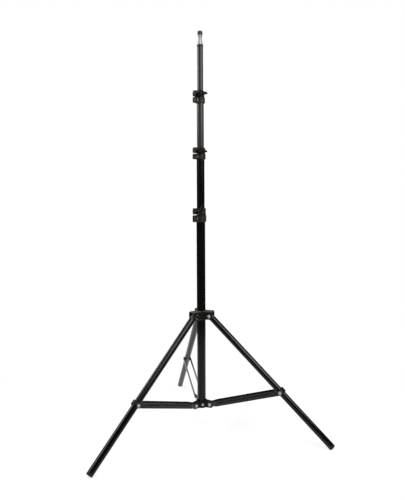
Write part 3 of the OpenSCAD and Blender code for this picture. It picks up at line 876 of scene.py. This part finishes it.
def add_rivets():
    """Rivets through the hub and the collar, and a pair of heads on each brace's outer end."""
    sets = (
        ("hub_rivets", "_brace_hinge", HUB_RIVET_HALF, "base", LEGS),
        ("leg_rivets", "_leg_hinge", LEG_RIVET_HALF, "collar", ("rear", "right")),
    )
    for node, hinge, half, body, sides in sets:
        places = [joint_place(side + hinge) @ turn(LEGS[side], "Z") for side in sides]
        rivets = [moved(cross_rivet(half), place) for place in places]
        add_piece(node + "_set", joined(rivets), ORIGIN, body, STEEL, [node])
    for side in LEGS:
        heads = []
        for flip in (0, 180):
            head = moved(rivet_head(RIVET_HEAD, RIVET_HEIGHT), shift(0, 0, BRACE_RIVET_HALF))
            heads.append(moved(head, turn(flip, "X") @ Y_TO_Z))
        place = brace_frame(side) @ shift(BRACE_LENGTH, 0, 0)
        add_piece(side + "_brace_rivet_pair", joined(heads), place, side + "_brace", STEEL,
                  [side + "_brace_rivets"])


def add_hub_screws():
    """Three screws that hold the hub to the base tube."""
    height = joints["rear_brace_hinge"]["pos_m"][2]
    screws = []
    for azimuth in HUB_SCREW_AZIMUTHS:
        place = turn(azimuth, "Z") @ shift(SLEEVE_RADIUS, 0, height) @ turn(90, "Y")
        screws.append(moved(pan_head(HUB_SCREW_RADIUS, HUB_SCREW_HEIGHT), place))
    add_piece("hub_screw_set", joined(screws), ORIGIN, "base", STEEL, ["hub_screws"])


FIX_HEAD = 2.75 * MM
FIX_HEIGHT = 1.8 * MM
FIX_RADIUS = 2 * MM
FIX_DEPTH = 11.2 * MM
FIX_RECESS_TURN = 20
FIX_NUT = 8 * MM
FIX_NUT_HEIGHT = 3.2 * MM
BOLT_NUT = 11 * MM
BOLT_NUT_HEIGHT = 5 * MM
CLAMP_BODIES = {"lower": "base", "middle": "lower_riser", "upper": "middle_riser"}


def fixing_frame(level):
    """The fixing screw's place: in line with the bolt, halfway up the clamp's seat ring."""
    low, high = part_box(level + "_clamp_screw")
    bolt = bolt_frame(level)
    bolt.translation.z = (low.z + high.z) / 2
    return bolt


def add_clamp_hardware(level):
    """The fixing screw of a clamp, and the nuts of its screw and bolt on the back."""
    body = CLAMP_BODIES[level]
    facing = shift(0, EARS_HALF, 0) @ Y_TO_Z
    behind = turn(180, "Z") @ shift(0, EARS_HALF, 0) @ Y_TO_Z
    shaft = moved(lathe([(FIX_RADIUS, -FIX_DEPTH), (FIX_RADIUS, EARS_HALF)], steps=24), Y_TO_Z)
    head = moved(pan_head(FIX_HEAD, FIX_HEIGHT), facing @ turn(FIX_RECESS_TURN, "Z"))
    add_piece(level + "_fixing_screw", joined([head, shaft]), fixing_frame(level), body, DULL_STEEL,
              [level + "_clamp_screw"])
    large = moved(hex_nut(BOLT_NUT, BOLT_NUT_HEIGHT), bolt_frame(level) @ behind)
    small = moved(hex_nut(FIX_NUT, FIX_NUT_HEIGHT), fixing_frame(level) @ behind)
    add_piece(level + "_nut_pair", joined([large, small]), ORIGIN, body, STEEL,
              [level + "_clamp_nuts"])


# Feet


FOOT_INSERT_RADIUS = 8.7 * MM
FOOT_INSERT_LENGTH = 15 * MM
FOOT_LIP = 0.8 * MM
FOOT_ROUND = 3 * MM
FOOT_ROUND_STEPS = 6
FOOT_RINGS = 3
RING_START = 1.2 * MM
RING_PITCH = 1.7 * MM
RING_WIDTH = 0.5 * MM
RING_FLANK = 0.3 * MM
GROOVE_WIDTH = 0.5 * MM
GROOVE_DEPTH = 0.5 * MM


def foot_profile():
    """The boot's outline down the leg: the insert in the tube, three rings and a round end."""
    top = LEG_LENGTH - FOOT_LENGTH
    groove = LEG_RADIUS - GROOVE_DEPTH
    profile = [(FOOT_INSERT_RADIUS, top - FOOT_INSERT_LENGTH), (FOOT_INSERT_RADIUS, top)]
    profile += [(LEG_RADIUS, top), (LEG_RADIUS, top + FOOT_LIP)]
    for k in range(FOOT_RINGS):
        z = top + RING_START + RING_PITCH * k
        ring_z = z + GROOVE_WIDTH + RING_FLANK
        profile += [(groove, z), (groove, z + GROOVE_WIDTH)]
        profile += [(LEG_RADIUS, ring_z), (LEG_RADIUS, ring_z + RING_WIDTH)]
    for step in range(1, FOOT_ROUND_STEPS + 1):
        angle = math.pi / 2 * step / FOOT_ROUND_STEPS
        inset = FOOT_ROUND * (1 - math.cos(angle))
        profile.append((LEG_RADIUS - inset, LEG_LENGTH - FOOT_ROUND * (1 - math.sin(angle))))
    return profile


def add_foot(side):
    """A rubber boot with three rings round it, flat where it meets the floor."""
    mesh = moved(lathe(foot_profile(), steps=56), leg_frame(side))
    cut = bmesh.ops.bisect_plane(mesh, geom=[*mesh.verts, *mesh.edges, *mesh.faces], plane_co=(0, 0, 0),
                                 plane_no=(0, 0, -1), clear_outer=True)
    rim = [item for item in cut["geom_cut"] if isinstance(item, bmesh.types.BMEdge)]
    bmesh.ops.edgeloop_fill(mesh, edges=rim)
    add_piece(side + "_foot_boot", mesh, ORIGIN, side + "_leg", RUBBER, [side + "_foot"])


# Braces


def bar_offset(x):
    """Distance of a bar's inner face from the middle of the brace: it steps out at the joggle."""
    share = min(max((x - JOGGLE_START) / JOGGLE_LENGTH, 0), 1)
    smooth = share * share * (3 - 2 * share)
    return BAR_NARROW + (BAR_WIDE - BAR_NARROW) * smooth


BEAD_HEIGHT = 0.7 * MM
BEAD_HALF = 4 * MM
BEAD_START = 36 * MM
BEAD_END = 196 * MM
BAR_EDGE = 0.45 * MM
BAR_LEAST_HALF = 0.02 * MM
BAR_STATIONS = 76
BAR_END_STEPS = 8
BAR_ROWS = 20


def bead(x, z):
    """Height of the stiffening bead pressed along a bar."""
    run = max(BEAD_START - x, x - BEAD_END, 0)
    far = math.hypot(run, z)
    return BEAD_HEIGHT * max(0, 1 - (far / BEAD_HALF) ** 2)


def brace_bar():
    """A flat bar with round ends, a joggle near the hub and a pressed bead."""
    half = BAR_HEIGHT / 2
    angles = [math.pi / 2 * k / BAR_END_STEPS for k in range(BAR_END_STEPS + 1)]
    stations = [-half * math.cos(angle) for angle in angles[:-1]]
    stations += [k * BRACE_LENGTH / BAR_STATIONS for k in range(BAR_STATIONS + 1)]
    stations += [BRACE_LENGTH + half * math.sin(angle) for angle in angles[1:]]
    mesh = bmesh.new()
    rings = []
    for x in stations:
        run = max(-x, x - BRACE_LENGTH, 0)
        reach = max(math.sqrt(max(half * half - run * run, 0)), BAR_LEAST_HALF)
        inner = bar_offset(x)
        ring = []
        heights = [reach * (2 * k / BAR_ROWS - 1) for k in range(BAR_ROWS + 1)]
        for z in heights:
            edge = BAR_EDGE * (1 - min((reach - abs(z)) / BAR_EDGE, 1)) ** 2
            ring.append(mesh.verts.new((x, inner + BAR_THICKNESS + bead(x, z) - edge, z)))
        for z in reversed(heights):
            ring.append(mesh.verts.new((x, inner, z)))
        rings.append(ring)
    skin(mesh, rings)
    return mesh


def add_brace(side):
    """Two bars, each the mirror image of the other."""
    for letter, flip in (("a", 1), ("b", -1)):
        mesh = moved(brace_bar(), Matrix.Diagonal((1, flip, 1, 1)))
        add_piece(f"{side}_bar_{letter}", mesh, brace_frame(side), side + "_brace", BRACES[side],
                  [f"{side}_brace_bar_{letter}"])


# Mouldings


EARS_END = 8.5 * MM
RIB_INSETS = (1.6 * MM, 3.4 * MM)
RIB_HALF = 0.55 * MM
RIB_PROUD = 0.8 * MM
RIB_END_GAP = 1.5 * MM


def vertical_rib(x, y, half_length):
    """A low rib along z on a face at y."""
    return block((x - RIB_HALF, y - RIB_PROUD, -half_length), (x + RIB_HALF, y + RIB_PROUD, half_length))


def add_clamp(level):
    """The split clamp: the solid's shape with ribs on the seat's ears and softened edges."""
    fixing = fixing_frame(level)
    seat_half = fixing.translation.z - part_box(level + "_clamp")[0].z
    shapes = [solid_of(level + "_clamp")]
    for inset in RIB_INSETS:
        for y in (EARS_HALF, -EARS_HALF):
            shapes.append(moved(vertical_rib(EARS_END - inset, y, seat_half - RIB_END_GAP), fixing))
    piece = add_piece(level + "_clamp_moulding", joined(shapes), ORIGIN, CLAMP_BODIES[level], MOULDING,
                      [level + "_clamp"])
    mould(piece, voxel=0.6 * MM, passes=5)


def add_collar_and_hub():
    """The mouldings of the collar, the hub and the leg heads, softened from their solids."""
    collar = add_piece("leg_collar_moulding", solid_of("leg_collar"), ORIGIN, "collar", DARK_MOULDING,
                       ["leg_collar"])
    mould(collar, voxel=0.7 * MM, passes=6)
    hub = add_piece("hub_moulding", solid_of("hub"), ORIGIN, "base", HUB_MOULDING, ["hub"])
    mould(hub, voxel=0.7 * MM, passes=5)
    for side in LEGS:
        solid = solid_of(side + "_leg_plug")
        plug = add_piece(side + "_leg_head", solid, ORIGIN, side + "_leg", DARK_MOULDING,
                         [side + "_leg_plug"])
        mould(plug, voxel=0.6 * MM, passes=4)


# Knobs


WING_STATIONS = 18
WING_SIDES = 20
WING_HOLLOW = 0.28
WING_LEAST_HALF = 0.1 * MM
WING_MOST_DEPTH = 1.2
WING_SIDE_POWER = 0.7
WING_FACE_POWER = 0.6
WING_ROOT = 0.95


def wing(reach, root_half, tip_radius, thickness):
    """A wing along x whose middle is z = 0: thin near the hub and thick at its rounded tip."""
    mesh = bmesh.new()
    rings = []
    for k in range(WING_STATIONS + 1):
        x = reach * math.sin(math.pi / 2 * k / WING_STATIONS)
        to_tip = reach - tip_radius
        if x <= to_tip:
            half = root_half + (tip_radius - root_half) * x / to_tip
        else:
            half = math.sqrt(max(tip_radius ** 2 - (x - to_tip) ** 2, WING_LEAST_HALF ** 2))
        deep = thickness / 2 * (1 - WING_HOLLOW * math.sin(math.pi * min(x / to_tip, 1)))
        deep = min(deep, half * WING_MOST_DEPTH)
        ring = []
        for j in range(WING_SIDES):
            angle = 2 * math.pi * j / WING_SIDES
            c, s = math.cos(angle), math.sin(angle)
            y = half * math.copysign(abs(c) ** WING_SIDE_POWER, c)
            z = deep * math.copysign(abs(s) ** WING_FACE_POWER, s)
            ring.append(mesh.verts.new((x, y, z)))
        rings.append(ring)
    skin(mesh, rings)
    return mesh


GRIP_BARS = 3
GRIP_PITCH = 2.6 * MM
GRIP_HALF = 0.55 * MM
GRIP_PROUD = 0.25 * MM
GRIP_SHARE = 0.72
GRIP_GROWTH = 0.14


def grip_bars(reach, tip_radius, thickness):
    """Raised bars across a wing's outer face, each longer than the one nearer the tip."""
    bars = []
    for k in range(GRIP_BARS):
        x = reach - tip_radius - GRIP_PITCH * k
        half = tip_radius * (GRIP_SHARE + GRIP_GROWTH * k)
        bars.append(block((x - GRIP_HALF, -half, 0), (x + GRIP_HALF, half, thickness / 2 + GRIP_PROUD)))
    return bars


WING_BASE = 17.65 * MM
WING_THICKNESS = 6 * MM
KNOB_BASE = 7.3 * MM
KNOB_END = 25.15 * MM
KNOB_RADIUS = 7.5 * MM
NECK_RADIUS = 5.25 * MM
WING_LONG = 26 * MM
WING_SHORT = 13 * MM
WING_TIP = 3.5 * MM
DIMPLE_DEPTH = 0.9 * MM

# Radii along a knob's hub, as shares of its neck's radius and then of its own
NECK_FOOT = 0.9
NECK_WAIST = 0.92
FLARE_START = 0.92
NOSE_SHOULDER = 0.86
NOSE_RIM = 0.62
DIMPLE_RIM = 0.46
DIMPLE_EDGE = 0.4
DIMPLE_MIDDLE = 0.1


def knob_hub(base, wings_at, end, neck, radius):
    """A knob's hub round z: a neck, a flare under the wings and a nose with a shallow dimple."""
    wings_end = wings_at + WING_THICKNESS
    dimple = end - DIMPLE_DEPTH
    return lathe([
        (neck * NECK_FOOT, base),
        (neck, base + 0.5 * MM),
        (neck, base + 1.6 * MM),
        (neck * NECK_WAIST, base + 2.4 * MM),
        (neck * NECK_WAIST, wings_at - 1.2 * MM),
        (radius * FLARE_START, wings_at),
        (radius, wings_at + 0.8 * MM),
        (radius, wings_end - 0.6 * MM),
        (radius * NOSE_SHOULDER, dimple),
        (radius * NOSE_RIM, end),
        (radius * DIMPLE_RIM, end - 0.1 * MM),
        (radius * DIMPLE_EDGE, dimple),
        (radius * DIMPLE_MIDDLE, dimple),
    ])


def add_clamp_knob(level):
    """A winged knob with a long ribbed wing and a short plain one."""
    middle = shift(0, 0, WING_BASE + WING_THICKNESS / 2)
    root = KNOB_RADIUS * WING_ROOT
    long_wing = [wing(WING_LONG, root, WING_TIP, WING_THICKNESS)]
    long_wing += grip_bars(WING_LONG, WING_TIP, WING_THICKNESS)
    shapes = [knob_hub(KNOB_BASE, WING_BASE, KNOB_END, NECK_RADIUS, KNOB_RADIUS)]
    shapes += [moved(part, middle) for part in long_wing]
    shapes.append(moved(wing(WING_SHORT, root, WING_TIP, WING_THICKNESS), middle @ turn(180, "Z")))
    place = bolt_frame(level) @ turn(-KNOB_TURN[level], "Y") @ Y_TO_Z
    piece = add_piece(level + "_wing_knob", joined(shapes), place, level + "_knob", KNOB,
                      [level + "_clamp_knob"])
    mould(piece, voxel=0.45 * MM, passes=4)


LOCK_BASE = 14.65 * MM
LOCK_WINGS = 20.15 * MM
LOCK_END = 27.65 * MM
LOCK_RADIUS = 6.5 * MM
LOCK_WING = 16 * MM
LOCK_TURN = 25


def add_collar_knob():
    """The locking knob on the left leg's pivot, with two like wings."""
    middle = shift(0, 0, LOCK_WINGS + WING_THICKNESS / 2)
    root = LOCK_RADIUS * WING_ROOT
    shapes = [knob_hub(LOCK_BASE, LOCK_WINGS, LOCK_END, root, LOCK_RADIUS)]
    for facing in (0, 180):
        blade = wing(LOCK_WING, root, WING_TIP, WING_THICKNESS)
        shapes.append(moved(blade, middle @ turn(facing, "Z")))
    place = joint_place("collar_knob_turn") @ turn(LEGS["left"], "Z") @ turn(-LOCK_TURN, "Y") @ Y_TO_Z
    piece = add_piece("collar_wing_knob", joined(shapes), place, "collar_knob", KNOB,
                      ["collar_knob"])
    mould(piece, voxel=0.45 * MM, passes=4)


add_camera()
add_world()
add_floor()
add_softbox("right_softbox", azimuth=48, distance=2.0, height=1.76, width=2.4, tall=1.14, watts=25)
add_softbox("left_softbox", azimuth=-95, distance=2.0, height=1.66, width=2.83, tall=0.75, watts=26.5)
add_top_light(right=0.2, front=1.5, height=2.6, side=1.9, watts=22)

dress_tubes()
add_spigot()
add_ferrule()
add_cap()
add_rivets()
add_hub_screws()
add_collar_and_hub()
add_collar_knob()
for clamp_level in LEVELS:
    add_clamp(clamp_level)
    add_clamp_hardware(clamp_level)
    add_clamp_knob(clamp_level)
for leg_side in LEGS:
    add_foot(leg_side)
    add_brace(leg_side)

bpy.context.scene.view_settings.view_transform = "Standard"
